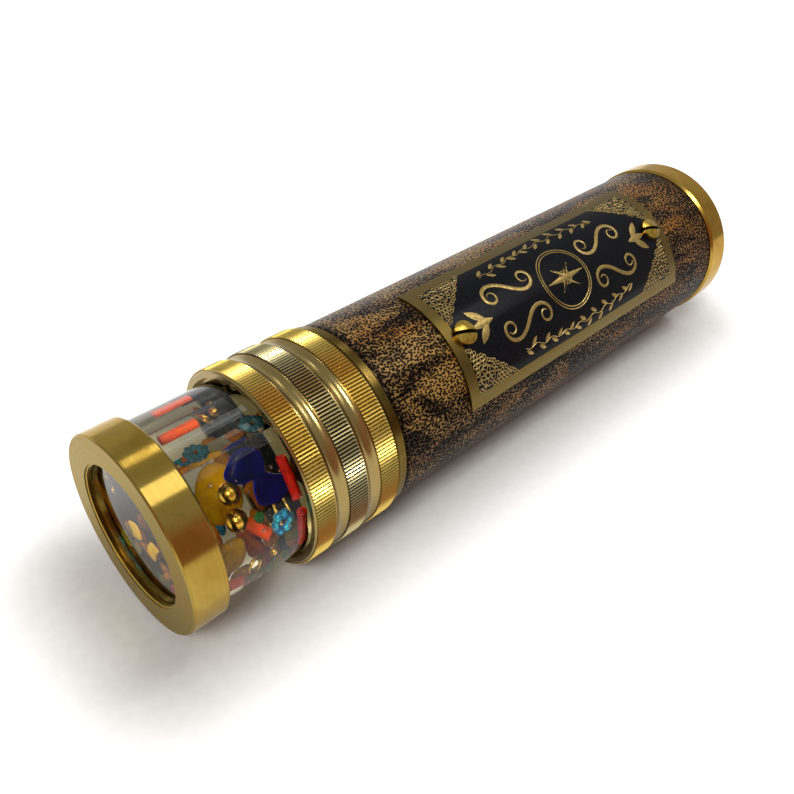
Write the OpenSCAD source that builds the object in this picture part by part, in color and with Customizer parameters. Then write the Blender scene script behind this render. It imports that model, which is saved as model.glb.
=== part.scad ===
// Liquid kaleidoscope: a leather-covered brass tube with three mirrors inside,
// and an oil-filled cell of beads that is turned by its knurled brass collar.
// It lies on its side: +X runs along the tube from the cell to the eyepiece,
// +Z is up, and the origin is on the table under the middle of the tube.

/* [Tube] */
// Diameter over the leather
leather_d = 38; // [34:0.5:46]
// Thickness of the leather wrap
leather_t = 1.5; // [1.2:0.1:2]
// Length of the leather wrap
leather_len = 108; // [90:1:140]
// Wall of the brass body tube
tube_wall = 1.2; // [0.8:0.1:1.6]
// Width of the smooth ring between the collar and the leather
flange_len = 2.4; // [1.8:0.1:4]
// How far that ring stands above the leather
flange_raise = 0.35; // [0.1:0.05:0.8]
// Edge bevel of that ring
flange_bevel = 0.4; // [0.2:0.1:0.6]

/* [Eyepiece] */
// How far the eyepiece cap stands above the leather
eye_raise = 0.4; // [0.1:0.05:1]
// Length of the cap's skirt over the tube
eye_skirt = 4; // [3.5:0.1:8]
// Thickness of the cap's end wall
eye_wall = 2.5; // [2:0.1:4]
// Edge bevel of the cap
eye_bevel = 0.5; // [0.2:0.1:0.8]
// Diameter of the eye hole
eye_hole_d = 10; // [6:0.5:14]
// Diameter of the dish round the eye hole
eye_dish_d = 22; // [17:0.5:28]
// Depth of the dish
eye_dish_depth = 1.4; // [0.6:0.1:1.6]

/* [Mirrors] */
// Thickness of the mirror glass
mirror_t = 2; // [1.5:0.1:3]
// Length of each end holder
holder_len = 4; // [3:0.1:6]
// Depth of the mirror pockets in the holders
holder_pocket = 2.5; // [1.5:0.1:2.6]
// Rim of the holder outside the mirror corners
holder_rim = 0.9; // [0.6:0.1:1.6]
// Thickness of the flat windows at the tube's ends
window_t = 2; // [1.2:0.1:2.6]
// Width of the spring ring that holds the front window
spring_ring_w = 0.6; // [0.4:0.1:1]
// Height of the spring ring
spring_ring_h = 1.1; // [0.8:0.1:1.6]

/* [Cell] */
// Thickness of the front cap's side over the barrel
cap_side = 1.5; // [1:0.1:2.4]
// Length of the front cap
cap_len = 7; // [6:0.1:10]
// Thickness of the front cap's wall round the window
cap_wall = 1.7; // [1.4:0.1:3]
// Bevel of the front cap's front edge
cap_bevel = 0.3; // [0.2:0.1:1]
// Bevel of the front cap's rear edge
cap_rear_bevel = 0.4; // [0.2:0.1:0.8]
// How far the front window's rim laps inside the barrel's bore
opening_lap = 1.75; // [1:0.05:3]
// Height of the lip inside that opening
opening_lip = 0.5; // [0.3:0.1:0.8]
// Thickness of the lip
opening_lip_t = 0.5; // [0.3:0.1:1.2]
// Thickness of the gaskets
gasket_t = 0.5; // [0.3:0.1:0.8]
// Thickness of the clear discs that close the cell
disc_t = 2; // [1.5:0.1:2.6]
// How far the clear barrel's outside lies below the leather
barrel_inset = 1.5; // [1.2:0.1:1.8]
// Wall of the clear barrel
barrel_wall = 2; // [1.5:0.1:2.2]
// Length of the barrel that shows between cap and collar
barrel_show = 17; // [15:0.5:24]
// How far the barrel sits inside the collar
barrel_seat = 2.5; // [2:0.1:4]
// Height of the air space above the oil
air_height = 1.5; // [1.3:0.1:2.4]

/* [Collar] */
// How far the knurls stand above the leather
knurl_raise = 0.9; // [0.7:0.1:2]
// Number of ridges round the collar, in fours
knurl_count = 188; // [120:4:240]
// Depth of the knurl
knurl_depth = 0.3; // [0.15:0.05:0.4]
// Step from the knurl's root down to the smooth core
core_step = 0.05; // [0.05:0.05:0.1]
// Width of each knurled band
band_len = 4.2; // [3:0.1:6]
// Width of the smooth groove between two bands
groove_len = 3.2; // [2.6:0.1:4.5]
// Depth of the groove below the knurl's root
groove_depth = 0.6; // [0.3:0.05:0.7]
// Flat step beside each groove
groove_step = 0.3; // [0.1:0.05:0.5]
// Width of the smooth rim in front of the first band
rim_len = 0.3; // [0.2:0.1:0.8]
// Recess round the barrel in the collar's front face
recess_gap = 0.8; // [0.5:0.1:1]
// Depth of that recess
recess_depth = 1.2; // [0.6:0.1:1.6]
// Thickness of the web behind the rear disc
web_t = 1.5; // [1:0.1:2.5]
// Width of the ring that keeps the collar on the tube
keeper_w = 1.5; // [1:0.1:2]
// Height of that ring above the tube
keeper_h = 0.6; // [0.4:0.05:0.7]

/* [Nameplate] */
// Length of the plate along the tube
plate_len = 73; // [60:1:84]
// Width of the plate round the tube
plate_w = 29.5; // [24:0.5:36]
// Thickness of the plate
plate_t = 0.5; // [0.4:0.05:0.8]
// Distance from the start of the leather to the plate
plate_start = 17.5; // [4:0.5:24]
// Angle of the plate's middle from the top, towards the front
plate_angle = 32; // [0:1:60]
// Width of the plate's bare border
plate_border = 2.6; // [2:0.1:3.5]
// Thickness of the black inlay
inlay_t = 0.15; // [0.1:0.05:0.3]
// Length of the inlay's cut corners along the tube
corner_len = 11; // [7:0.5:14]
// Width of the cut corners
corner_w = 8; // [5:0.5:9]
// Distance of the screws from the plate's short edges
screw_inset = 4.4; // [4.2:0.1:6]
// Diameter of the screw heads
screw_head_d = 5; // [4:0.1:6]
// Height of the screw heads
screw_head_h = 1.3; // [0.9:0.1:1.6]
// Height of the straight edge of the heads
screw_edge = 0.8; // [0.3:0.1:0.9]
// Diameter of the screw shanks
screw_d = 2.4; // [2:0.1:3]
// Reach of the shanks past the tube's wall
screw_reach = 0.2; // [0.1:0.1:0.4]
// Width of the screwdriver slot
slot_w = 0.7; // [0.5:0.1:1]
// Depth of the screwdriver slot
slot_depth = 0.6; // [0.3:0.1:0.7]
// Angle of the slots from the tube's length, towards the front
slot_turn = 18; // [0:1:90]

/* [Beads] */
// Radius of the oil for which the sizes of the beads are given
bead_oil_r = 15.2; // [12:0.1:20]
// Diameter of the round gold beads
gold_bead_d = 3.8; // [3:0.1:4]
// Diameter of the small gold beads
gold_small_d = 2.2; // [1.6:0.1:2.4]
// Diameter of the thread holes
thread_d = 0.8; // [0.5:0.1:1]
// Diameter of the gold wire rings
wire_ring_d = 3.6; // [3:0.1:4]
// Diameter of the wire
wire_d = 0.8; // [0.5:0.1:1]
// Diameter of the tube beads
bugle_d = 2; // [1.5:0.1:2.2]
// Length of the long tube beads
bugle_len = 7; // [5:0.5:7.5]
// Length of the short tube beads
bugle_short = 4.6; // [3:0.1:5]
// Diameter of the flower beads
flower_d = 4.7; // [4:0.1:5.2]
// Number of petals of the flower beads
petals = 6; // [5:1:8]
// Diameter of the hole in the flower beads
flower_hole_d = 1.2; // [0.8:0.1:1.6]
// Thickness of the flower beads
flower_t = 1.6; // [1:0.1:2]
// Diameter of the seed beads
seed_d = 1.8; // [1.2:0.1:2]
// Thickness of the glass pieces
chip_t = 1.8; // [1.2:0.1:2]
// Size of the larger yellow glass piece
leaf_size = 9; // [6:0.1:9.5]
// Size of the smaller yellow glass piece
drop_size = 6.6; // [5:0.1:7]
// Size of the smallest yellow glass piece
sliver_size = 5; // [4:0.1:6]
// Size of the blue glass piece
swirl_size = 9.6; // [6:0.1:10]

/* [Fits] */
// Running clearance between the collar and the tube
run_clear = 0.05; // [0.02:0.01:0.1]
// Gap between turning and fixed faces
turn_gap = 0.4; // [0.3:0.05:0.6]
// Radial room round the keeper ring
keeper_room = 0.3; // [0.3:0.05:0.4]
// Room between the oil and the walls of the cell
oil_gap = 0.3; // [0.2:0.05:0.5]
// Room between neighbouring mirror edges
mirror_gap = 0.1; // [0.05:0.05:0.3]
// Room round each mirror in its pocket
pocket_clear = 0.1; // [0.05:0.05:0.2]
// Room round the screw shanks
screw_clear = 0.1; // [0.05:0.05:0.2]

/* [Hidden] */
$fn = 96;
// Reach of a cutter past the face it cuts
over = 1;

// Radii
leather_r = leather_d / 2;
tube_r = leather_r - leather_t;
tube_ir = tube_r - tube_wall;
barrel_r = leather_r - barrel_inset;
barrel_ir = barrel_r - barrel_wall;
cap_r = barrel_r + cap_side;
opening_r = barrel_ir - opening_lap;
knurl_r = leather_r + knurl_raise;
root_r = knurl_r - knurl_depth;
core_r = root_r - core_step;
keeper_r = tube_r + keeper_h;
collar_bore_r = tube_r + run_clear;
flange_r = leather_r + flange_raise;
eye_cap_r = leather_r + eye_raise;
plate_r = leather_r + plate_t;
oil_r = barrel_ir - oil_gap;
oil_level = barrel_ir - air_height;

// Stations along the tube, counted from the front cap's face
disc_x = cap_wall;
gasket_x = disc_x + disc_t;
cavity_x = gasket_x + gasket_t;
collar_x = cap_len + barrel_show;
cavity_end = collar_x + barrel_seat;
cavity_len = cavity_end - cavity_x;
rear_gasket_x = cavity_end + disc_t;
web_x = rear_gasket_x + gasket_t;
room_x = web_x + web_t;
tube_x = room_x + turn_gap;
keeper_end = tube_x + keeper_w;
room_end = keeper_end + turn_gap;
collar_len = rim_len + 3 * band_len + 2 * groove_len;
collar_end = collar_x + collar_len;
flange_x = collar_end + turn_gap;
leather_x = flange_x + flange_len;
leather_end = leather_x + leather_len;
tube_end = leather_end + eye_skirt;
total_len = tube_end + eye_wall;
spring_end = tube_x + spring_ring_w;
front_window_end = spring_end + window_t;
mirror_x = front_window_end + holder_len - holder_pocket;
rear_window_x = tube_end - window_t;
rear_holder_x = rear_window_x - holder_len;
mirror_end = rear_holder_x + holder_pocket;

// The tube lies on its knurls
axis_z = knurl_r;

// Mirror section: three plates round an equilateral triangle,
// as wide as the tube's bore and the holder's rim allow
mirror_corner_r = tube_ir - holder_rim;
mirror_b = mirror_t - sqrt(3) * mirror_gap;
mirror_c = mirror_gap ^ 2 + mirror_t ^ 2 - mirror_corner_r ^ 2;
mirror_face_r = (sqrt(mirror_b ^ 2 - 4 * mirror_c) - mirror_b) / 4;
mirror_w = 2 * (sqrt(3) * mirror_face_r - mirror_gap);

// Plate angles and screw stations
plate_x = leather_x + plate_start;
plate_end = plate_x + plate_len;
function arc_deg(w, r) = w / r * 180 / PI;
plate_span = arc_deg(plate_w, plate_r);
inlay_span = arc_deg(plate_w - 2 * plate_border, plate_r);
inlay_half = plate_r * sin(inlay_span / 2);
screw_x = [plate_x + screw_inset, plate_end - screw_inset];
screw_tip_r = tube_ir - screw_reach;

// Bead sizes in this cell
bead_share = oil_r / bead_oil_r;
ball_d = bead_share * gold_bead_d;
small_ball_d = bead_share * gold_small_d;
bead_hole_d = bead_share * thread_d;
loop_d = bead_share * wire_ring_d;
loop_wire_d = bead_share * wire_d;
rod_d = bead_share * bugle_d;
rod_len = bead_share * bugle_len;
rod_short = bead_share * bugle_short;
blossom_d = bead_share * flower_d;
blossom_hole_d = bead_share * flower_hole_d;
blossom_t = bead_share * flower_t;
pip_d = bead_share * seed_d;
shard_t = bead_share * chip_t;
yellow_sizes = [bead_share * leaf_size, bead_share * drop_size, bead_share * sliver_size];
blue_size = bead_share * swirl_size;

// Where the beads hang in the oil: share of the cavity's length,
// angle from the top towards the front, depth as a share of the oil's radius
gold_places = [[0.42, 46, 0.197], [0.40, 67, 0.263]];
gold_small_places = [[0.165, -16, 0.171], [0.74, -18, 0.171], [0.63, 106, 0.145]];
ring_places = [[0.64, -17, 0.185], [0.46, 112, 0.197]];
ring_turn = [[0, 70, 20], [0, 20, 30]];
bugle_places = [[0.405, -16, 0.171], [0.53, -39, 0.105]];
short_places = [[0.555, 87, 0.316], [0.245, 118, 0.171]];
short_turn = [[35, 55, 0], [0, 80, 0]];
red_places = [[0.91, 58, 0.224], [0.91, 100, 0.171], [0.32, 150, 0.158]];
red_turn = [[90, 0, 0], [90, 0, 0], [20, 80, 0]];
flower_places = [[0.735, 85, 0.171], [0.46, -150, 0.197]];
seed_places = [[0.55, 70, 0.132], [0.76, 120, 0.132], [0.60, 124, 0.132], [0.37, 180, 0.105]];
yellow_places = [[0.40, 46, 0.54], [0.27, 94, 0.30], [0.36, 130, 0.30]];
yellow_turn = [20, -15, 40];
blue_place = [0.70, 48, 0.395];
blue_turn = 10;

// Outlines of the glass pieces, in shares of their size
leaf_outline = [[-0.5, -0.08], [-0.36, -0.3], [-0.12, -0.43], [0.16, -0.42], [0.4, -0.26], [0.5, 0.02],
    [0.42, 0.3], [0.2, 0.44], [-0.06, 0.42], [-0.28, 0.3], [-0.44, 0.14]];
swirl_outline = [[-0.3, 0.42], [-0.08, 0.5], [0.16, 0.46], [0.3, 0.3], [0.27, 0.12], [0.2, 0.0],
    [0.3, -0.12], [0.46, -0.24], [0.5, -0.4], [0.3, -0.5], [0.02, -0.48], [-0.22, -0.34],
    [-0.2, -0.14], [-0.08, 0.02], [-0.24, 0.06], [-0.44, 0.18], [-0.46, 0.32]];

// Pieces of the assembly

// Moves a shape drawn along +Z from the front cap's face onto the tube's axis
module on_axis() {
    translate([-total_len / 2, 0, axis_z])
        rotate([0, 90, 0])
            children();
}

// Solid of revolution about the tube's axis from [radius, station] points
module turned(points) {
    on_axis()
        rotate_extrude()
            polygon(points);
}

// Plain ring about the tube's axis
module ring(r_in, r_out, x0, x1) {
    turned([[r_in, x0], [r_out, x0], [r_out, x1], [r_in, x1]]);
}

// Plain disc about the tube's axis
module disc(r, x0, x1) {
    on_axis()
        translate([0, 0, x0])
            cylinder(r = r, h = x1 - x0);
}

// Puts a shape at a station, turned from the top towards the front
module around(x, angle) {
    translate([x - total_len / 2, 0, axis_z])
        rotate([angle, 0, 0])
            children();
}

// Curved sheet round the tube, centred on the plate's angle
module curved_sheet(r_in, r_out, x0, x1, span) {
    on_axis()
        rotate([0, 0, 180 + plate_angle - span / 2])
            rotate_extrude(angle = span)
                polygon([[r_in, x0], [r_out, x0], [r_out, x1], [r_in, x1]]);
}

// Round hole or shank along a radius at each of the given stations
module radial_rod(r, z0, z1, stations) {
    for (x = stations)
        around(x, plate_angle)
            translate([0, 0, z0])
                cylinder(r = r, h = z1 - z0);
}

// Brass tube that carries everything
module body_tube() {
    color("darkgoldenrod")
        difference() {
            ring(tube_ir, tube_r, tube_x, tube_end);
            radial_rod(screw_d / 2 + screw_clear, tube_ir - over, tube_r + over, screw_x);
        }
}

// Leather glued round the tube, between the flange and the eyepiece
module leather_wrap() {
    color("saddlebrown")
        difference() {
            ring(tube_r, leather_r, leather_x, leather_end);
            radial_rod(screw_d / 2 + screw_clear, tube_r - over, leather_r + over, screw_x);
        }
}

// Smooth ring fixed to the tube behind the collar
module tube_flange() {
    color("goldenrod")
        turned([[tube_r, flange_x],
            [flange_r - flange_bevel, flange_x],
            [flange_r, flange_x + flange_bevel],
            [flange_r, leather_x - flange_bevel],
            [flange_r - flange_bevel, leather_x],
            [tube_r, leather_x]]);
}

// Ring on the tube's front end that keeps the collar from pulling off
module keeper_ring() {
    color("goldenrod")
        ring(tube_r, keeper_r, tube_x, keeper_end);
}

// Outline of the black inlay, up to the given radius
module inlay_sheet(r_top) {
    x0 = plate_x + plate_border;
    x1 = plate_end - plate_border;
    rise = over * corner_w / corner_len;
    difference() {
        curved_sheet(plate_r - inlay_t, r_top, x0, x1, inlay_span);
        for (end = [0, 1], side = [-1, 1])
            around(end == 0 ? x0 : x1, plate_angle)
                mirror([end, 0, 0])
                    linear_extrude(height = 2 * plate_r)
                        polygon([[-over, side * (inlay_half - corner_w - rise)],
                            [corner_len + over, side * (inlay_half + rise)],
                            [-over, side * (inlay_half + rise)]]);
    }
}

// Curved brass plate with a pocket for the inlay
module nameplate() {
    color("goldenrod")
        difference() {
            curved_sheet(leather_r, plate_r, plate_x, plate_end, plate_span);
            inlay_sheet(plate_r + over);
            radial_rod(screw_d / 2 + screw_clear, leather_r - over, plate_r + over, screw_x);
        }
}

// Black inlay, flush with the plate's border
module nameplate_inlay() {
    color("black")
        difference() {
            inlay_sheet(plate_r);
            radial_rod(screw_d / 2 + screw_clear, leather_r - over, plate_r + over, screw_x);
        }
}

// Slotted screw with a domed head
module plate_screw(x) {
    head_r = screw_head_d / 2;
    rise = screw_head_h - screw_edge;
    dome_r = (head_r ^ 2 + rise ^ 2) / (2 * rise);
    color("goldenrod")
        difference() {
            union() {
                radial_rod(screw_d / 2, screw_tip_r, plate_r + screw_edge, [x]);
                intersection() {
                    radial_rod(head_r, plate_r, plate_r + screw_head_h, [x]);
                    around(x, plate_angle)
                        translate([0, 0, plate_r + screw_head_h - dome_r])
                            sphere(r = dome_r);
                }
            }
            around(x, plate_angle)
                rotate([0, 0, -slot_turn])
                    translate([-head_r - over, -slot_w / 2, plate_r + screw_head_h - slot_depth])
                        cube([2 * (head_r + over), slot_w, slot_depth + over]);
        }
}

// One screw at the middle of each short edge of the plate
module plate_screws() {
    for (x = screw_x)
        plate_screw(x);
}

// Glass that closes the tube behind the cell
module front_window() {
    color("lightcyan")
        disc(tube_ir, spring_end, front_window_end);
}

// Sprung brass ring in front of that glass
module spring_ring() {
    color("goldenrod")
        ring(tube_ir - spring_ring_h, tube_ir, tube_x, spring_end);
}

// Section of one mirror, swept from one station to another
module mirror_plate(turn, x0, x1, clear) {
    around(0, turn)
        translate([x0, -mirror_w / 2 - clear, mirror_face_r - clear])
            cube([x1 - x0, mirror_w + 2 * clear, mirror_t + 2 * clear]);
}

// Disc with a triangular view hole and a pocket for the mirrors' ends
module mirror_holder(x0, pocket_x0, pocket_x1) {
    color("dimgray")
        difference() {
            disc(tube_ir, x0, x0 + holder_len);
            translate([0, 0, axis_z])
                rotate([0, 90, 0])
                    translate([0, 0, x0 - over - total_len / 2])
                        cylinder(r = 2 * mirror_face_r, h = holder_len + 2 * over, $fn = 3);
            for (turn = [0, 120, 240])
                mirror_plate(turn, pocket_x0, pocket_x1, pocket_clear);
        }
}

// Holder behind the front window
module mirror_holder_front() {
    mirror_holder(front_window_end, mirror_x, mirror_x + holder_pocket + over);
}

// Holder in front of the eye window
module mirror_holder_rear() {
    mirror_holder(rear_holder_x, rear_holder_x - over, mirror_end);
}

// Top mirror
module mirror_a() {
    color("silver")
        mirror_plate(0, mirror_x, mirror_end, 0);
}

// Lower front mirror
module mirror_b() {
    color("silver")
        mirror_plate(120, mirror_x, mirror_end, 0);
}

// Lower back mirror
module mirror_c() {
    color("silver")
        mirror_plate(240, mirror_x, mirror_end, 0);
}

// Glass behind the eye hole
module eye_window() {
    color("lightcyan")
        disc(tube_ir, rear_window_x, tube_end);
}

// Turned brass cap with a dished eye hole
module eyepiece_cap() {
    color("gold")
        turned([[tube_r, leather_end],
            [eye_cap_r - eye_bevel, leather_end],
            [eye_cap_r, leather_end + eye_bevel],
            [eye_cap_r, total_len - eye_bevel],
            [eye_cap_r - eye_bevel, total_len],
            [eye_dish_d / 2, total_len],
            [eye_hole_d / 2, total_len - eye_dish_depth],
            [eye_hole_d / 2, tube_end],
            [tube_r, tube_end]]);
}

// Turned brass cap that holds the front disc on the barrel
module front_cap() {
    lip_r = opening_r - opening_lip;
    color("gold")
        turned([[opening_r, 0],
            [cap_r - cap_bevel, 0],
            [cap_r, cap_bevel],
            [cap_r, cap_len - cap_rear_bevel],
            [cap_r - cap_rear_bevel, cap_len],
            [barrel_r, cap_len],
            [barrel_r, cap_wall],
            [lip_r, cap_wall],
            [lip_r, cap_wall - opening_lip_t],
            [opening_r, cap_wall - opening_lip_t]]);
}

// Gasket between the front disc and the barrel
module front_gasket() {
    color("black")
        ring(barrel_ir, barrel_r, gasket_x, cavity_x);
}

// Clear disc at the front of the cell
module front_disc() {
    color("lightcyan")
        disc(barrel_r, disc_x, gasket_x);
}

// Clear barrel of the cell
module cell_barrel() {
    color("lightcyan")
        ring(barrel_ir, barrel_r, cavity_x, cavity_end);
}

// Clear disc at the rear of the cell
module rear_disc() {
    color("lightcyan")
        disc(barrel_r, cavity_end, rear_gasket_x);
}

// Gasket between the rear disc and the collar's web
module rear_gasket() {
    color("black")
        ring(opening_r, barrel_r, rear_gasket_x, web_x);
}

// One band of straight knurling: ridges that run along the tube
module knurl_band(x0) {
    steps = 2 * knurl_count;
    on_axis()
        translate([0, 0, x0])
            linear_extrude(height = band_len)
                polygon([for (i = [0 : steps - 1])
                    let (r = i % 2 == 0 ? knurl_r : root_r, a = i * 360 / steps)
                    [r * cos(a), r * sin(a)]]);
}

// Collar that turns on the tube and carries the cell
module knurled_collar() {
    cove_half = groove_len / 2 - groove_step;
    cove_r = (cove_half ^ 2 + groove_depth ^ 2) / (2 * groove_depth);
    pitch = band_len + groove_len;
    first = collar_x + rim_len;
    color("goldenrod")
        difference() {
            union() {
                turned([[0, collar_x],
                    [core_r - rim_len, collar_x],
                    [core_r, first],
                    [core_r, collar_end],
                    [0, collar_end]]);
                for (i = [0 : 2])
                    knurl_band(first + i * pitch);
            }
            // inside: recess, barrel socket, view hole, keeper room, running bore
            turned([[0, collar_x - over],
                [barrel_r + recess_gap, collar_x - over],
                [barrel_r + recess_gap, collar_x + recess_depth],
                [barrel_r, collar_x + recess_depth],
                [barrel_r, web_x],
                [opening_r, web_x],
                [opening_r, room_x],
                [keeper_r + keeper_room, room_x],
                [keeper_r + keeper_room, room_end],
                [collar_bore_r, room_end],
                [collar_bore_r, collar_end + over],
                [0, collar_end + over]]);
            // coves between the bands
            for (i = [0, 1])
                on_axis()
                    translate([0, 0, first + band_len + groove_len / 2 + i * pitch])
                        rotate_extrude()
                            translate([core_r - groove_depth + cove_r, 0])
                                circle(r = cove_r);
        }
}

// Puts a bead in the oil: share of the length, angle, share of the radius below the edge
module hang(place) {
    around(cavity_x + place[0] * cavity_len, place[1])
        translate([0, 0, oil_r * (1 - place[2])])
            children();
}

// Outer shape of the round gold beads
module gold_bead_shapes(hole) {
    for (p = gold_places)
        hang(p)
            bead_ball(ball_d, hole);
    for (p = gold_small_places)
        hang(p)
            bead_ball(small_ball_d, hole);
}

// Ball with a thread hole along the tube
module bead_ball(d, hole) {
    rotate([0, 90, 0])
        difference() {
            sphere(d = d);
            if (hole)
                cylinder(d = bead_hole_d, h = d + over, center = true);
        }
}

// Wire rings
module gold_ring_shapes() {
    for (i = [0 : len(ring_places) - 1])
        hang(ring_places[i])
            rotate(ring_turn[i])
                rotate_extrude()
                    translate([(loop_d - loop_wire_d) / 2, 0])
                        circle(d = loop_wire_d);
}

// Tube bead along Z with a thread hole
module tube_bead(length, hole) {
    difference() {
        cylinder(d = rod_d, h = length, center = true);
        if (hole)
            cylinder(d = bead_hole_d, h = length + over, center = true);
    }
}

// Two long orange tube beads and two short ones
module orange_tube_shapes(hole) {
    for (p = bugle_places)
        hang(p)
            rotate([0, 90, 0])
                tube_bead(rod_len, hole);
    for (i = [0 : len(short_places) - 1])
        hang(short_places[i])
            rotate(short_turn[i])
                tube_bead(rod_short, hole);
}

// Red tube beads
module red_tube_shapes(hole) {
    for (i = [0 : len(red_places) - 1])
        hang(red_places[i])
            rotate(red_turn[i])
                tube_bead(rod_len, hole);
}

// Flower beads: a ring of round petals about a hole
module flower_shapes(hole) {
    petal_r = blossom_d / petals;
    for (p = flower_places)
        hang(p)
            difference() {
                translate([0, 0, -blossom_t / 2])
                    union() {
                        cylinder(r = blossom_d / 2 - petal_r, h = blossom_t);
                        for (i = [0 : petals - 1])
                            rotate([0, 0, i * 360 / petals])
                                translate([blossom_d / 2 - petal_r, 0, 0])
                                    cylinder(r = petal_r, h = blossom_t);
                    }
                if (hole)
                    cylinder(d = blossom_hole_d, h = blossom_t + over, center = true);
            }
}

// Seed beads
module seed_shapes() {
    for (p = seed_places)
        hang(p)
            sphere(d = pip_d);
}

// Flat piece of glass, its outline in shares of its size
module glass_chip(outline, size) {
    translate([0, 0, -shard_t / 2])
        linear_extrude(height = shard_t)
            polygon(size * outline);
}

// Yellow glass pieces, shaped like leaves
module yellow_shapes() {
    for (i = [0 : len(yellow_places) - 1])
        hang(yellow_places[i])
            rotate([0, 0, yellow_turn[i]])
                glass_chip(leaf_outline, yellow_sizes[i]);
}

// Blue glass piece with a waist between its two ends
module blue_shapes() {
    hang(blue_place)
        rotate([0, 0, blue_turn])
            glass_chip(swirl_outline, blue_size);
}

// Oil with its level top and the room that the beads take up
module oil() {
    color([0.9, 0.9, 0.8])
        difference() {
            disc(oil_r, cavity_x + oil_gap, cavity_end - oil_gap);
            translate([-total_len, -2 * oil_r, axis_z + oil_level])
                cube([2 * total_len, 4 * oil_r, 2 * oil_r]);
            gold_bead_shapes(false);
            gold_ring_shapes();
            orange_tube_shapes(false);
            red_tube_shapes(false);
            flower_shapes(false);
            seed_shapes();
            yellow_shapes();
            blue_shapes();
        }
}

// Gold beads in the oil
module gold_beads() {
    color("gold")
        gold_bead_shapes(true);
}

// Gold wire rings in the oil
module gold_rings() {
    color("gold")
        gold_ring_shapes();
}

// Orange tube beads in the oil
module orange_tubes() {
    color("orangered")
        orange_tube_shapes(true);
}

// Red tube beads in the oil
module red_tubes() {
    color("darkred")
        red_tube_shapes(true);
}

// Turquoise flower beads in the oil
module flower_beads() {
    color("deepskyblue")
        flower_shapes(true);
}

// Green seed beads in the oil
module seed_beads() {
    color("darkgreen")
        seed_shapes();
}

// Yellow glass in the oil
module yellow_glass() {
    color("gold")
        yellow_shapes();
}

// Blue glass in the oil
module blue_glass() {
    color("mediumblue")
        blue_shapes();
}

body_tube();
leather_wrap();
tube_flange();
keeper_ring();
nameplate();
nameplate_inlay();
plate_screws();
front_window();
spring_ring();
mirror_holder_front();
mirror_holder_rear();
mirror_a();
mirror_b();
mirror_c();
eye_window();
eyepiece_cap();
front_cap();
front_gasket();
front_disc();
cell_barrel();
rear_disc();
rear_gasket();
knurled_collar();
oil();
gold_beads();
gold_rings();
orange_tubes();
red_tubes();
flower_beads();
seed_beads();
yellow_glass();
blue_glass();
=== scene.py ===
"""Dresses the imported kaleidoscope: brass, leather, plate ornament, glass cell with oil and beads, and the stage."""
import math

import bpy
import numpy as np
from bpy.props import FloatProperty, FloatVectorProperty, IntProperty, PointerProperty
from mathutils import Matrix, Vector


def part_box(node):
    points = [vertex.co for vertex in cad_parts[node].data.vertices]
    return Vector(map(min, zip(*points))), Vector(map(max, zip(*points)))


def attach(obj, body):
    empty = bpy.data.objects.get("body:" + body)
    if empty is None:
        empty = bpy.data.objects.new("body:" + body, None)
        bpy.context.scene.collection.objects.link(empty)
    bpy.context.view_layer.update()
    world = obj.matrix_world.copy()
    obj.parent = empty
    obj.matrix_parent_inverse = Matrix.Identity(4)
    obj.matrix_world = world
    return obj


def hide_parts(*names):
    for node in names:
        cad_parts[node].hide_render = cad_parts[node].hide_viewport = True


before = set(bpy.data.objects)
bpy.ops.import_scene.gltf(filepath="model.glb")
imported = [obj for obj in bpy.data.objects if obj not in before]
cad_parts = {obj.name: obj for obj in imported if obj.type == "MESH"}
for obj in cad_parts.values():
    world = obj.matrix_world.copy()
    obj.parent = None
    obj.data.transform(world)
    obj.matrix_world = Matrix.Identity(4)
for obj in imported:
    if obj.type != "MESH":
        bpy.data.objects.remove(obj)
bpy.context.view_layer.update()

bl_info = {
    "name": "Liquid kaleidoscope",
    "version": (1, 0, 0),
    "blender": (4, 5, 0),
    "location": "3D View > Sidebar > Kaleidoscope",
    "description": "Builds the visible pieces and finishes of a brass and leather kaleidoscope with an oil cell",
    "category": "Object",
}

MM = 0.001
TURN = 2 * math.pi
SIDES = (-1, 1)
CORNERS = [(end, side) for end in SIDES for side in SIDES]
CAP_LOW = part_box("front_cap")[0]
LEATHER_LOW, LEATHER_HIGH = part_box("leather_wrap")
LEATHER_R = (LEATHER_HIGH.z - LEATHER_LOW.z) / 2
AXIS_Z = (LEATHER_HIGH.z + LEATHER_LOW.z) / 2
TUBE_R = (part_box("body_tube")[1].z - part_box("body_tube")[0].z) / 2
BARREL_LOW, BARREL_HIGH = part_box("cell_barrel")
OIL_LOW, OIL_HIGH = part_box("oil")
COLLAR_LOW, COLLAR_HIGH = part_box("knurled_collar")
KNURL_R = (COLLAR_HIGH.z - COLLAR_LOW.z) / 2
PLATE_LOW, PLATE_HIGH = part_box("nameplate")
INLAY_LOW, INLAY_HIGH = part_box("nameplate_inlay")
SCREWS_LOW, SCREWS_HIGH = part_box("plate_screws")


def node_points(node):
    """The points of a CAD node, one to a row."""
    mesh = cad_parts[node].data
    points = np.empty(len(mesh.vertices) * 3)
    mesh.vertices.foreach_get("co", points)
    return points.reshape(-1, 3)


def polar(node):
    """Distances from the tube's axis, and angles from the top towards the viewer, of a node's points."""
    across, up = (node_points(node)[:, 1:] - (0, AXIS_Z)).T
    return np.hypot(across, up), np.arctan2(-across, up)


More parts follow.
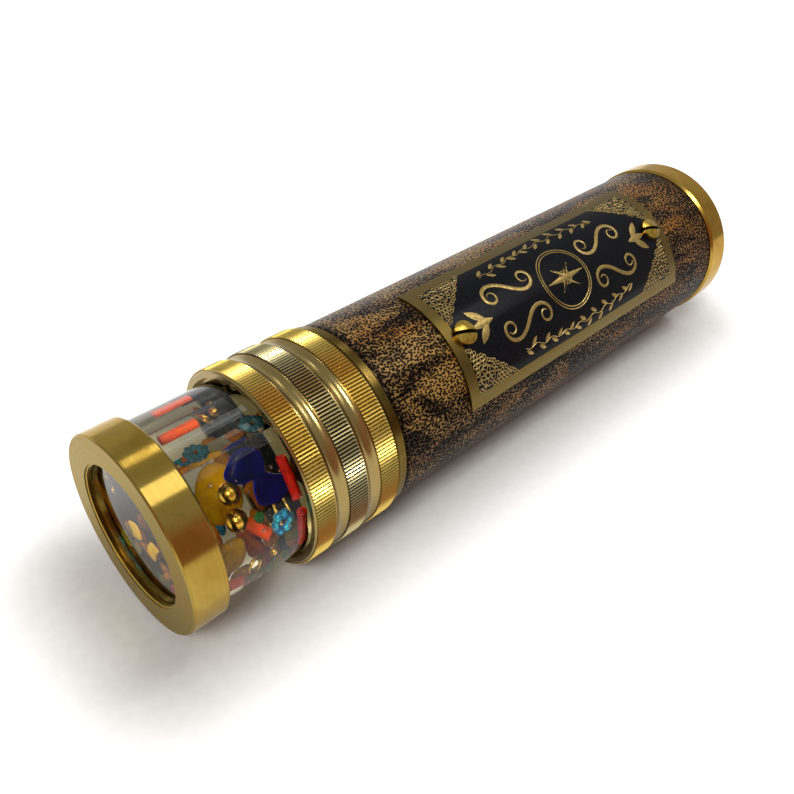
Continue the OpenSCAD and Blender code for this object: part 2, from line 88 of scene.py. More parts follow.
BARREL_BORE = float(polar("cell_barrel")[0].min())
OIL_R = float(polar("oil")[0].max())
WINDOW_R = float(polar("rear_gasket")[0].min())
PLATE_R = float(polar("nameplate")[0].max())
PLATE_TURN = float((polar("nameplate")[1].min() + polar("nameplate")[1].max()) / 2)
PLATE_MIDDLE = (PLATE_LOW.x + PLATE_HIGH.x) / 2
INLAY_HALF = float(np.ptp(polar("nameplate_inlay")[1]) / 2 * PLATE_R)
INLAY_REACH = (INLAY_HIGH.x - INLAY_LOW.x) / 2
DISC_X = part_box("front_disc")[1].x
HAIR = 0.02 * MM            # tells a wall of the cell from the oil that reaches into it
KNURL_DEPTH = 0.345 * MM    # the coves lie deeper than this below the crests
BAND_HALF = 3.2 * MM        # half the width of the collar's middle band
HEAD_R, HEAD_RISE = 2.5 * MM, 0.8 * MM          # screw heads, and how far they stand above the plate
SLOT_TURN, SLOT_HALF = math.radians(18), 0.375 * MM


def tint(code):
    """Linear colour, with alpha 1, of an sRGB hex code. Any other value stays as it is."""
    if not isinstance(code, str):
        return code
    parts = [int(code[i:i + 2], 16) / 255 for i in (1, 3, 5)]
    return tuple(c / 12.92 if c <= 0.04045 else ((c + 0.055) / 1.055) ** 2.4 for c in parts) + (1.0,)


def length(name, text, mm):
    """A size property given in millimetres."""
    return FloatProperty(name=name, description=text, default=mm * MM, unit="LENGTH", subtype="DISTANCE",
                         precision=5)


def colour(name, text, code):
    """A colour property given as an sRGB hex code."""
    return FloatVectorProperty(name=name, description=text, default=tint(code), size=4, subtype="COLOR",
                               min=0, max=1)


class KaleidoscopeLeather(bpy.types.PropertyGroup):
    """Sizes and colours of the leather cover."""
    edge: length("Edge rounding", "Rounding of the cut ends of the leather", 0.7)
    swell: length("Swell", "How unevenly the leather lies on the tube", 0.06)
    seam: length("Seam depth", "Depth of the butt seam at the back of the tube", 0.35)
    pebble: length("Pebble", "Spacing of the pits of the grain", 0.47)
    tan: colour("Tan", "Worn tan of the raised grain", "#96733A")
    russet: colour("Russet", "Warm stain of the hide", "#8C5A14")
    # the umber also paints the underside and the front end darker, as painted shade
    umber: colour("Umber", "Dark antique stain", "#22160C")
    pit: colour("Pits", "Colour left in the pits of the grain", "#0C0705")


class KaleidoscopeBrass(bpy.types.PropertyGroup):
    """Colours of the brass pieces."""
    # the cap face's colour is set darker than the side brass, as painted shade
    pale: colour("Pale", "Satin front face of the cap", "#8A7A3E")
    bright: colour("Bright", "Polished yellow brass", "#AA9046")
    deep: colour("Deep", "Polished brass under uneven lacquer", "#94762F")
    cove: colour("Cove", "Polished coves between the knurled bands", "#968250")
    warm: colour("Warm", "Lacquered brass of the knurls", "#CDB05A")
    worn: colour("Worn", "Middle band, where the lacquer is rubbed off", "#B0A478")
    aged: colour("Aged", "Tarnish in the low places", "#6E5826")
    plate: colour("Plate", "Flat satin brass of the plate", "#665930")


class KaleidoscopePlate(bpy.types.PropertyGroup):
    """Sizes of the ornament on the plate."""
    reach: length("Lace reach", "Length of the lace corners along the tube", 11.4)
    rise: length("Lace rise", "Width of the lace corners round the tube", 9.2)
    mesh: length("Lace mesh", "Spacing of the small loops of the lace", 0.95)
    line: length("Line", "Half the width of an engraved line", 0.09)
    star: length("Star", "Radius of the star in the middle", 6.2)
    stroke: length("Stroke", "Half the width of a scroll at its widest", 0.36)


class KaleidoscopeCell(bpy.types.PropertyGroup):
    """Sizes and colours of the cell's contents."""
    meniscus: length("Meniscus", "Rise of the oil where it meets the glass", 1.1)
    creep: length("Meniscus width", "How far that rise reaches from the glass", 0.9)
    thread: length("Thread", "Pitch of the thread inside the front window's rim", 0.3)
    bubbles: IntProperty(name="Bubbles", description="Number of small bubbles in the oil", default=26, min=1)
    scraps: IntProperty(name="Scraps", description="Number of glass scraps at the bottom", default=27, min=3)
    chip: length("Chip", "Thickness of the glass pieces", 1.7)
    blossom: length("Blossom", "Width of the flower beads", 4.7)
    orange: colour("Orange", "Orange glass", "#EE5A00")
    red: colour("Red", "Red glass", "#C81E10")
    gold: colour("Gold", "Gold coating", "#F4D468")
    turquoise: colour("Turquoise", "Turquoise glass", "#30D4FF")
    green: colour("Green", "Green glass", "#1E6A2C")
    amber: colour("Amber", "Amber glass", "#D0A200")
    cobalt: colour("Cobalt", "Cobalt glass", "#040850")


GROUPS = {"kal_leather": KaleidoscopeLeather, "kal_brass": KaleidoscopeBrass, "kal_plate": KaleidoscopePlate,
          "kal_cell": KaleidoscopeCell}


def circle(count):
    """Angles evenly round a circle, the last a step short of the first."""
    return np.linspace(0, TURN, count, endpoint=False)


def drawn_to_ends(low, high, count):
    """Places from low to high that lie closer together towards both ends, as the cosine of even steps does."""
    return low + (high - low) * (0.5 - 0.5 * np.cos(math.pi * np.linspace(0, 1, count)))


def turned(u, v, angle, place=(0.0, 0.0)):
    """A plane figure turned by an angle and moved to a place."""
    cos, sin = math.cos(angle), math.sin(angle)
    return place[0] + u * cos - v * sin, place[1] + u * sin + v * cos


def round_axis(x, radius, angle):
    """Points at a place along the tube, a distance from its axis, and an angle from the top towards the viewer."""
    return np.stack(np.broadcast_arrays(x, -radius * np.sin(angle), AXIS_Z + radius * np.cos(angle)), axis=-1)


def on_plate(along, across, lift):
    """Points on the plate's curved face, by distances along and round the tube from its middle, and a lift."""
    return round_axis(PLATE_MIDDLE + along, PLATE_R + lift, PLATE_TURN + across / PLATE_R)


def shell(points, wrap_rows=False):
    """Closed surface from a grid of points whose columns run round it.

    The rows are joined end to end, or else the first and last row are closed to their middles.
    Faces are turned round if the volume they enclose comes out negative.
    """
    rows, columns = points.shape[:2]
    index = np.arange(rows * columns).reshape(rows, columns)
    vertices = points.reshape(-1, 3)
    caps = np.empty((0, 3), int)
    if wrap_rows:
        index = np.vstack([index, index[:1]])
    else:
        ends = np.stack([index[0][::-1], index[-1]])
        tips = np.array([[rows * columns], [rows * columns + 1]])
        vertices = np.vstack([vertices, points[0].mean(0), points[-1].mean(0)])
        caps = np.stack([ends, np.roll(ends, -1, 1), np.broadcast_to(tips, ends.shape)], -1).reshape(-1, 3)
    here, there = index[:-1], index[1:]
    quads = np.stack([here, np.roll(here, -1, 1), np.roll(there, -1, 1), there], -1).reshape(-1, 4)
    triangles = np.vstack([quads[:, :3], quads[:, [0, 2, 3]], caps])
    a, b, c = (vertices[triangles[:, k]] - vertices.mean(0) for k in range(3))
    if (a * np.cross(b, c)).sum() < 0:
        quads, caps = quads[:, ::-1], caps[:, ::-1]
    return vertices, quads, caps


def piece(context, name, shells, finish, body, node=None, crease=60):
    """One object from closed surfaces, smooth up to the crease angle, riding on a body."""
    points, faces, count = [], [], 0
    for vertices, quads, caps in shells:
        points.append(vertices)
        faces += (quads + count).tolist() + (caps + count).tolist()
        count += len(vertices)
    mesh = bpy.data.meshes.new(name)
    mesh.from_pydata(np.vstack(points).tolist(), [], faces)
    mesh.validate()
    mesh.shade_smooth()
    mesh.set_sharp_from_angle(angle=math.radians(crease))
    mesh.materials.append(finish)
    made = bpy.data.objects.new(name, mesh)
    context.scene.collection.objects.link(made)
    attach(made, body)
    if node:
        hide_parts(node)
    return made


def dress(finish, *nodes):
    """Gives CAD nodes a finish in place of their plain colour."""
    for node in nodes:
        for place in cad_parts[node].material_slots:
            place.material = finish


def feed(node, inputs):
    """Sets a shader node's inputs by name or number: links what is a node or socket, and writes other values."""
    for key, value in inputs.items():
        if isinstance(value, bpy.types.Node):
            value = next(out for out in value.outputs if out.enabled)
        if isinstance(value, bpy.types.NodeSocket):
            node.id_data.links.new(value, node.inputs[key])
        else:
            node.inputs[key].default_value = tint(value)


def add(tree, kind, inputs=(), operation=None, stops=(), **settings):
    """Adds a shader node with its operation, other settings, ramp stops and inputs, by name, number or in order."""
    made = tree.nodes.new("ShaderNode" + kind)
    if operation:
        made.operation = operation
    for key, value in settings.items():
        setattr(made, key, value)
    for place, (position, value) in enumerate(stops):
        stop = made.color_ramp.elements[place] if place < 2 else made.color_ramp.elements.new(position)
        stop.position = position
        stop.color = tint(value)
    feed(made, inputs if isinstance(inputs, dict) else dict(enumerate(inputs)))
    return made


def finish_for(name, **constants):
    """New material and its shader, with the values that hold all over set on the shader's own sockets."""
    made = bpy.data.materials.new(name)
    made.use_nodes = True
    shader = made.node_tree.nodes["Principled BSDF"]
    feed(shader, {key.replace("_", " "): value for key, value in constants.items()})
    return made, made.node_tree, shader


def grey(level):
    """Colour of one brightness, given as linear light."""
    return (level, level, level, 1.0)


def about_axis(tree):
    """Texture coordinates, and places counted from the tube's axis, whole and in their three parts."""
    place = add(tree, "TexCoord")
    axis = add(tree, "Mapping", {"Vector": place.outputs["Object"], "Location": (0, 0, -AXIS_Z)})
    return place, axis, add(tree, "SeparateXYZ", [axis]).outputs


def axis_distance(tree, axis):
    """Distance from the tube's axis: the length of what is left of a place when its part along the tube is nil."""
    flat = add(tree, "VectorMath", (axis, (0, 1, 1)), "MULTIPLY")
    return add(tree, "VectorMath", [flat], "LENGTH")


def turned_brass(name, light, low, face, face_rough, side_rough, cut=0.02):
    """Brass turned on a lathe: fine tool lines run round the axis on faces and sides, so highlights streak along
    them, and a thin uneven lacquer makes the yellow wander a little. Faces are satin, sides polished."""
    made, tree, shader = finish_for(name, Metallic=1.0, Specular_Tint="#FAF2DE")
    place, axis, along = about_axis(tree)
    # tool lines 0.3 mm apart, coarser than real ones so that they show
    rings, hoops = (add(tree, "TexNoise", {"W": way, "Scale": 1 / (0.3 * MM), "Detail": 2, "Roughness": 0.6},
                        noise_dimensions="1D") for way in (axis_distance(tree, axis), along["X"]))
    normal = add(tree, "SeparateXYZ", [place.outputs["Normal"]])
    facing = add(tree, "Math", [normal.outputs["X"]], "ABSOLUTE")
    front = add(tree, "MapRange", (facing, 0.5, 0.9))
    lines = add(tree, "Mix", {0: front, 2: hoops, 3: rings})
    # lacquer clouds of 9 mm
    cloud = add(tree, "TexNoise", {"Vector": place.outputs["Object"], "Scale": 1 / (9 * MM), "Detail": 5,
                                   "Roughness": 0.6, "Distortion": 0.6})
    shown = add(tree, "MapRange", (front, 0, 1, 0.22, 0.6))
    blend = add(tree, "Mix", {0: shown, 2: cloud, 3: lines})
    side = add(tree, "ValToRGB", [blend], stops=[(0.34, low), (0.66, light)])
    end = add(tree, "ValToRGB", [blend], stops=[(0.36, low), (0.56, face)])
    hue = add(tree, "Mix", {0: front, 6: side, 7: end}, data_type="RGBA")
    rough = add(tree, "MapRange", (front, 0, 1, side_rough, face_rough))
    grain = add(tree, "MapRange", (blend, 0.35, 0.65, 0.05, -0.04))
    total = add(tree, "Math", (rough, grain), "ADD")
    deep = add(tree, "MapRange", (front, 0, 1, cut * MM, 2.5 * cut * MM))
    bump = add(tree, "Bump", {"Height": lines, "Distance": deep, "Strength": 0.5})
    feed(shader, {"Base Color": hue, "Roughness": total, "Normal": bump})
    return made


def knurled_brass(colours):
    """Brass with straight knurling rolled in: the crests are burnished bright, lacquer and hand grime darken the
    roots, the lacquer is rubbed off the middle band, and the coves between the bands are polished."""
    made, tree, shader = finish_for("knurled_lacquered_brass", Metallic=1.0)
    place, axis, along = about_axis(tree)
    radius = axis_distance(tree, axis)
    # crests and roots, by distance from the axis
    crest = add(tree, "MapRange", (radius, KNURL_R - 0.3 * MM, KNURL_R - 0.05 * MM))
    gold = add(tree, "ValToRGB", [crest], stops=[(0.05, colours.aged), (0.75, colours.warm)])
    rubbed = add(tree, "ValToRGB", [crest], stops=[(0.2, "#1E1A12"), (0.85, colours.worn)])
    # the middle band, as a share of the collar's length
    part = add(tree, "MapRange", (along["X"], COLLAR_LOW.x, COLLAR_HIGH.x))
    off = add(tree, "Math", (part, 0.5, BAND_HALF / (COLLAR_HIGH.x - COLLAR_LOW.x)), "COMPARE")
    bands = add(tree, "Mix", {0: off, 6: gold, 7: rubbed}, data_type="RGBA")
    cove = add(tree, "Math", (radius, KNURL_R - KNURL_DEPTH), "LESS_THAN")
    hue = add(tree, "Mix", {0: cove, 6: bands, 7: colours.cove}, data_type="RGBA")
    cloud = add(tree, "TexNoise", {"Vector": place.outputs["Object"], "Scale": 1 / (3 * MM), "Detail": 4})
    rough = add(tree, "MapRange", (cloud, 0.3, 0.7, 0.17, 0.27))
    feed(shader, {"Base Color": hue, "Roughness": rough})
    return made


def antiqued_leather(colours):
    """Cowhide embossed with a fine grain and antiqued by hand: tan shows on the raised grain, dark stain stays in
    the creases and in streaks along the tube, and a waxed top gives a soft sheen. The underside and the front end
    are painted darker as well, as painted shade, with a dark burnished edge at the front."""
    # the gloss set here stands in where a linked one is dropped
    made, tree, shader = finish_for("antiqued_grain_leather", Specular_IOR_Level=0.3, Specular_Tint="#EAD4B4")
    along = add(tree, "SeparateXYZ", [add(tree, "TexCoord").outputs["Object"]]).outputs
    # the hide laid flat: distance along the tube and round it, joined underneath
    up = add(tree, "Math", (along["Z"], AXIS_Z), "SUBTRACT")
    angle = add(tree, "Math", (along["Y"], up), "ARCTAN2")
    round_tube = add(tree, "Math", (angle, LEATHER_R), "MULTIPLY")
    sheet = add(tree, "CombineXYZ", (along["X"], round_tube))
    stretched, streaked = (add(tree, "Mapping", {"Vector": sheet, "Scale": (k, 1, 1)}) for k in (0.72, 0.36))
    # pits, one to each cell of an uneven net, with ragged edges
    net = add(tree, "TexVoronoi", {"Vector": stretched, "Scale": 1 / colours.pebble, "Randomness": 0.9},
              voronoi_dimensions="2D")
    ragged = add(tree, "TexNoise", {"Vector": sheet, "Scale": 1 / (0.3 * MM), "Detail": 2}, noise_dimensions="2D")
    edge = add(tree, "Math", (ragged, 0.5, net.outputs["Distance"]), "MULTIPLY_ADD")
    # blotches of stain wiped along the tube, and warm places where it was rubbed off
    blotch = add(tree, "TexNoise", {"Vector": streaked, "Scale": 1 / (5 * MM), "Detail": 5, "Roughness": 0.6,
                                    "Distortion": 0.5}, noise_dimensions="2D")
    warmth = add(tree, "TexNoise", {"Vector": streaked, "Scale": 1 / (7 * MM), "Detail": 3}, noise_dimensions="2D")
    length_share = add(tree, "MapRange", (along["X"], LEATHER_LOW.x, LEATHER_HIGH.x, -0.12, 0.1))
    warmer = add(tree, "Math", (warmth, length_share), "ADD")
    hide = add(tree, "ValToRGB", [warmer], stops=[(0.4, colours.tan), (0.6, colours.russet)])
    stain = add(tree, "MapRange", (blotch, 0.41, 0.7))
    # painted shade darkens the underside and the front end by the flange, where the edge is also burnished dark;
    # the back end is darker from handling
    front = add(tree, "MapRange", (along["X"], LEATHER_LOW.x, LEATHER_LOW.x + 2.5 * MM, 1, 0))
    back = add(tree, "MapRange", (along["X"], LEATHER_HIGH.x - 12 * MM, LEATHER_HIGH.x, 0, 0.6))
    ends = add(tree, "Math", (front, back), "ADD")
    below = add(tree, "Math", [angle], "ABSOLUTE")
    underside_shade = add(tree, "MapRange", (below, 0.75, 1.25, 0, 0.22))
    more = add(tree, "Math", (stain, underside_shade), "ADD")
    # aged holds the stain together with the painted shade of the underside and the front end
    aged = add(tree, "Math", (ends, more), "MAXIMUM", use_clamp=True)
    body = add(tree, "Mix", {0: aged, 6: hide, 7: colours.umber}, data_type="RGBA")
    # stained places, and those darkened as painted shade, have wider pits
    reach = add(tree, "Math", (aged, 0.22, 0.64), "MULTIPLY_ADD")
    depth = add(tree, "Math", (reach, edge), "SUBTRACT")
    pits = add(tree, "MapRange", (depth, -0.06, 0.06))
    hue = add(tree, "Mix", {0: pits, 6: body, 7: colours.pit}, data_type="RGBA")
    rough = add(tree, "MapRange", (blotch, 0.3, 0.7, 0.41, 0.28))
    # the wax is polished on the raised grain of the upper side, and dull in the pits and below
    polished = add(tree, "MapRange", (below, 0.6, 1.2, 0.5, 0.18))
    dull = add(tree, "MapRange", (pits, 0, 1, 1, 0.1))
    wax = add(tree, "Math", (polished, dull), "MULTIPLY")
    bump = add(tree, "Bump", {"Height": pits, "Distance": 0.13 * MM, "Strength": 0.8}, invert=True)
    feed(shader, {"Base Color": hue, "Roughness": rough, "Specular IOR Level": wax, "Normal": bump})
    return made


def plain_finish(name, light, low, rough, spread_mm, relief=0.0, lengthwise=1.0, **constants):
    """Surface whose colour wanders between two tones over a given size, with matching unevenness of the gloss."""
    made, tree, shader = finish_for(name, **constants)
    place = add(tree, "TexCoord")
    stretched = add(tree, "Mapping", {"Vector": place.outputs["Object"], "Scale": (lengthwise, 1, 1)})
    cloud = add(tree, "TexNoise", {"Vector": stretched, "Scale": 1 / (spread_mm * MM), "Detail": 5, "Roughness": 0.6})
    hue = add(tree, "ValToRGB", [cloud], stops=[(0.35, low), (0.65, light)])
    gloss = add(tree, "MapRange", (cloud, 0.3, 0.7, rough * 1.25, rough * 0.8))
    feed(shader, {"Base Color": hue, "Roughness": gloss})
    if relief:
        feed(shader, {"Normal": add(tree, "Bump", {"Height": cloud, "Distance": relief * MM, "Strength": 0.6})})
    return made


def overlay(made, where, tone):
    """Lays another tone over a finish's colour, as far as a value between 0 and 1 says."""
    shader = made.node_tree.nodes["Principled BSDF"]
    under = shader.inputs["Base Color"].links[0].from_socket
    feed(shader, {"Base Color": add(made.node_tree, "Mix", {0: where, 6: under, 7: tone}, data_type="RGBA")})
    return made


def at_edges(made, tone, blend):
    """Lays a tone over a finish where the surface turns away from the eye: painted light or shade along the rim, as the
    tone is bright or dark.
    """
    return overlay(made, add(made.node_tree, "LayerWeight", {"Blend": blend}).outputs["Facing"], tone)


def shade_in_slots(made, tone):
    """Lays a tone of painted shade over the screws' finish in their slots, which lie aslant across the heads."""
    tree = made.node_tree
    along = about_axis(tree)[2]
    apart = (SCREWS_HIGH.x - SCREWS_LOW.x) / 2 - HEAD_R
    # distances along and round the tube from the middle of the nearer screw
    off = add(tree, "Math", (along["X"], PLATE_MIDDLE), "SUBTRACT")
    end = add(tree, "Math", [off], "SIGN")
    u = add(tree, "Math", (end, -apart, off), "MULTIPLY_ADD")
    angle = add(tree, "Math", (along["Y"], along["Z"]), "ARCTAN2")
    past = add(tree, "Math", (angle, PLATE_TURN), "ADD")
    v = add(tree, "Math", (past, (PLATE_R + HEAD_RISE) * math.cos(SLOT_TURN)), "MULTIPLY")
    aside = add(tree, "Math", (u, math.sin(SLOT_TURN), v), "MULTIPLY_ADD")
    return overlay(made, add(tree, "Math", (aside, 0, SLOT_HALF), "COMPARE"), tone)


def cell_places(tree):
    """Height above the axis, distance from it, and a value of 1 between the end walls of the clear cell."""
    axis, along = about_axis(tree)[1:]
    middle, half = (DISC_X + BARREL_HIGH.x) / 2, (BARREL_HIGH.x - DISC_X) / 2
    between = add(tree, "Math", (along["X"], middle, half + HAIR), "COMPARE")
    return along["Z"], axis_distance(tree, axis), between


def wetted(tree, level):
    """1 on the inside of the clear cell below the oil's level, where acrylic and oil bend light almost alike."""
    up, radius, between = cell_places(tree)
    inside = add(tree, "Math", (radius, BARREL_BORE + HAIR), "LESS_THAN")
    under = add(tree, "Math", (up, level), "LESS_THAN")
    both = add(tree, "Math", (inside, between), "MULTIPLY")
    return add(tree, "Math", (both, under), "MULTIPLY")


def against_glass(tree):
    """1 on the sides and ends of the oil, which reach a hair into the clear cell, and 0 on its free surface."""
    radius, between = cell_places(tree)[1:]
    side = add(tree, "Math", (radius, BARREL_BORE + HAIR), "GREATER_THAN")
    end = add(tree, "Math", (1, between), "SUBTRACT")
    return add(tree, "Math", (side, end), "MAXIMUM")


def lets_lamps_in(made, through, also=0.0):
    """Lets the light of the lamps pass straight through a clear piece, tinted, so that what it shuts in is lit.

    Sight passes straight through as well where another value is 1.
    """
    tree = made.node_tree
    rays = add(tree, "LightPath")
    straight = add(tree, "Math", (rays.outputs["Is Shadow Ray"], also), "MAXIMUM")
    clear = add(tree, "BsdfTransparent", {"Color": through})
    mix = add(tree, "MixShader", (straight, tree.nodes["Principled BSDF"], clear))
    feed(tree.nodes["Material Output"], {"Surface": mix})
    return made


class KALEIDOSCOPE_OT_brass(bpy.types.Operator):
    """Finish the turned brass caps, the knurled collar and the small brass pieces"""
    bl_idname = "kaleidoscope.brass"
    bl_label = "Brass finishes"

    def execute(self, context):
        colours = context.scene.kal_brass
        # turned cap: satin front face that scatters light in rings, polished side that mirrors the room; the face's
        # colour is set darker than the side's, as painted shade
        dress(turned_brass("turned_satin_brass", colours.bright, colours.deep, colours.pale, 0.34, 0.13), "front_cap")
        # eyepiece ring: nearly mirror bright, with the last lathe lines still in it
        dress(turned_brass("polished_brass", "#BA9440", "#94702A", colours.bright, 0.24, 0.12, cut=0.008),
              "eyepiece_cap")
        # flange ring: down in the gap behind the collar, a darker brass than the other rings, darkest on its faces
        dress(turned_brass("dark_flange_brass", "#705C2C", "#4A3A18", "#4A3A18", 0.3, 0.22), "tube_flange")
        dress(knurled_brass(colours), "knurled_collar")
        # drawn tube: dull brass that never shows once the tube is covered
        dress(turned_brass("drawn_brass_tube", colours.deep, colours.aged, colours.aged, 0.4, 0.35), "body_tube",
              "keeper_ring", "spring_ring")
        # screws: cast yellow brass, scuffed by the driver, with painted shade, near black, laid across the slots
        screws = plain_finish("scuffed_screw_brass", "#C6A548", colours.deep, 0.2, 1.2, relief=0.04, Metallic=1.0)
        dress(shade_in_slots(screws, "#0E0A06"), "plate_screws")
        # plate: rolled sheet brass, rubbed lengthwise to a flat satin
        dress(plain_finish("rolled_plate_brass", colours.plate, colours.aged, 0.36, 1.6, relief=0.012,
                           lengthwise=0.1, Metallic=1.0), "nameplate")
        return {"FINISHED"}


class KALEIDOSCOPE_OT_leather(bpy.types.Operator):
    """Build the leather cover with its soft ends, uneven lie and butt seam"""
    bl_idname = "kaleidoscope.leather"
    bl_label = "Leather cover"

    def execute(self, context):
        sizes = context.scene.kal_leather
        columns, rows, seam_half = 288, 220, 0.35 * MM
        angle = circle(columns)
        # outer profile: straight from end to end, with the last few tenths rounded as a quarter circle
        x = drawn_to_ends(LEATHER_LOW.x, LEATHER_HIGH.x, rows)
        inner = np.minimum(x - LEATHER_LOW.x, LEATHER_HIGH.x - x)
        near = np.clip(1 - inner / sizes.edge, 0, 1)
        drop = sizes.edge * (1 - np.sqrt(1 - near ** 2))
        # uneven lie: three waves round and along the tube, always below the full radius
        wave = sum(np.sin(turns * angle[None] + pitch * x[:, None] + start)
                   for turns, pitch, start in ((3, 90, 0), (5, -170, 1), (2, 60, 2))) / 3
        # butt seam opposite the plate: a narrow groove with a bell-shaped section
        off = np.angle(np.exp(1j * (angle - PLATE_TURN - math.pi))) * LEATHER_R
        groove = sizes.seam * np.exp(-(off / seam_half) ** 2)
        radius = LEATHER_R - drop[:, None] - sizes.swell * (0.5 + 0.5 * wave) - groove[None]
        outer = round_axis(x[:, None], radius, angle[None])
        lining = round_axis(np.array([[LEATHER_HIGH.x], [LEATHER_LOW.x]]), TUBE_R, angle[None])
        cover = piece(context, "leather_cover", [shell(np.concatenate([outer, lining]), wrap_rows=True)],
                      antiqued_leather(sizes), "tube", "leather_wrap")
        return {"FINISHED"}


def lace_loops(centres, radii, turns, line, lift, steps=14):
    """Flattened wire loops on the plate: ellipses of given radii, turned and placed, with a diamond section."""
    angle = circle(steps)
    section = np.array([[-1, 0.0], [0, 1.0], [1, 0.0], [0, -1.0]])
    made = []
    for centre, (wide, high), turn in zip(centres, radii, turns):
        reach = np.array([[wide], [high]])[None] + (section[:, 0] * line)[:, None, None]
        along, across = turned(reach[:, 0] * np.cos(angle), reach[:, 1] * np.sin(angle), turn, centre)
        made.append(shell(on_plate(along, across, lift + 0.5 * line * section[:, 1:]), wrap_rows=True))
    return made


def boss(u, v, crown, centre=(0.0, 0.0)):
    """Low raised shape on the plate: an outline shrunk towards its middle, where it is as high as its crown."""
    share = np.array([[0.02], [1.0], [1.0], [0.02]])
    lift = np.array([[1.0], [0.1], [-0.1], [-0.1]]) * crown
    return shell(on_plate(centre[0] + share * u, centre[1] + share * v, lift))


def leaf(centre, long, wide, turn):
    """Pointed leaf on the plate: an oval whose sides are drawn in towards both tips, turned and placed."""
    angle = np.arange(16) * TURN / 16
    u, v = 0.5 * long * np.cos(angle), 0.5 * wide * np.sin(angle) * np.abs(np.sin(angle))
    return boss(*turned(u, v, turn), 0.09 * MM, centre)


def ribbon(path, width):
    """Strip on the plate along a path, ridged in the middle and as wide to each side as given at each point."""
    heading = np.gradient(path, axis=0)
    heading /= np.linalg.norm(heading, axis=1, keepdims=True)
    across = np.array([-1.0, 0.0, 1.0, 0.0]) * width[:, None]
    lift = np.broadcast_to(np.array([0.0, 0.07, 0.0, -0.02]) * MM, across.shape)
    return shell(on_plate(path[:, :1] - heading[:, 1:] * across, path[:, 1:] + heading[:, :1] * across, lift))


